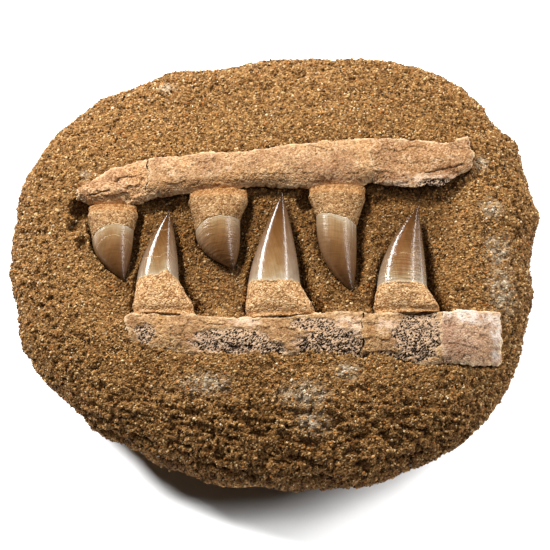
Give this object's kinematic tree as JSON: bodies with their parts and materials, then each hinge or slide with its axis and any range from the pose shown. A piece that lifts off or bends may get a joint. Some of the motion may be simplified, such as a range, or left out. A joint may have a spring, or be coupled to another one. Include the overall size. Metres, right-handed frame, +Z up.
{
  "type": "fossil jaw in matrix",
  "caption": "Still, life-size fossil marine reptile jaw: two strips of jaw bone with interleaved pointed teeth, half dug out of a rounded block of sandy phosphate rock lying flat.",
  "frame": {"origin": "centre of the block's plan box, on the floor that it lies on", "axes": "+X to the rear of the jaw, +Y from the lower jaw to the upper jaw, +Z up out of the exposed face"},
  "size_m": [0.2756, 0.2414, 0.0617],
  "materials": {
    "sandstone": "matt, coarse grained",
    "bone": "matt, porous fossil bone",
    "root": "matt, fine grained",
    "enamel": "glossy enamel"
  },
  "bodies": {
    "root": {"matrix_block": "sandstone", "upper_jaw_front": "bone", "upper_jaw_middle": "bone", "upper_jaw_rear": "bone", "lower_jaw_front": "bone", "lower_jaw_middle": "bone", "lower_jaw_rear": "bone", "upper_tooth_1_root": "root", "upper_tooth_2_root": "root", "upper_tooth_3_root": "root", "lower_tooth_1_root": "root", "lower_tooth_2_root": "root", "lower_tooth_3_root": "root", "upper_tooth_1_crown": "enamel", "upper_tooth_2_crown": "enamel", "upper_tooth_3_crown": "enamel", "lower_tooth_1_crown": "enamel", "lower_tooth_2_crown": "enamel", "lower_tooth_3_crown": "enamel"}
  },
  "joints": []
}
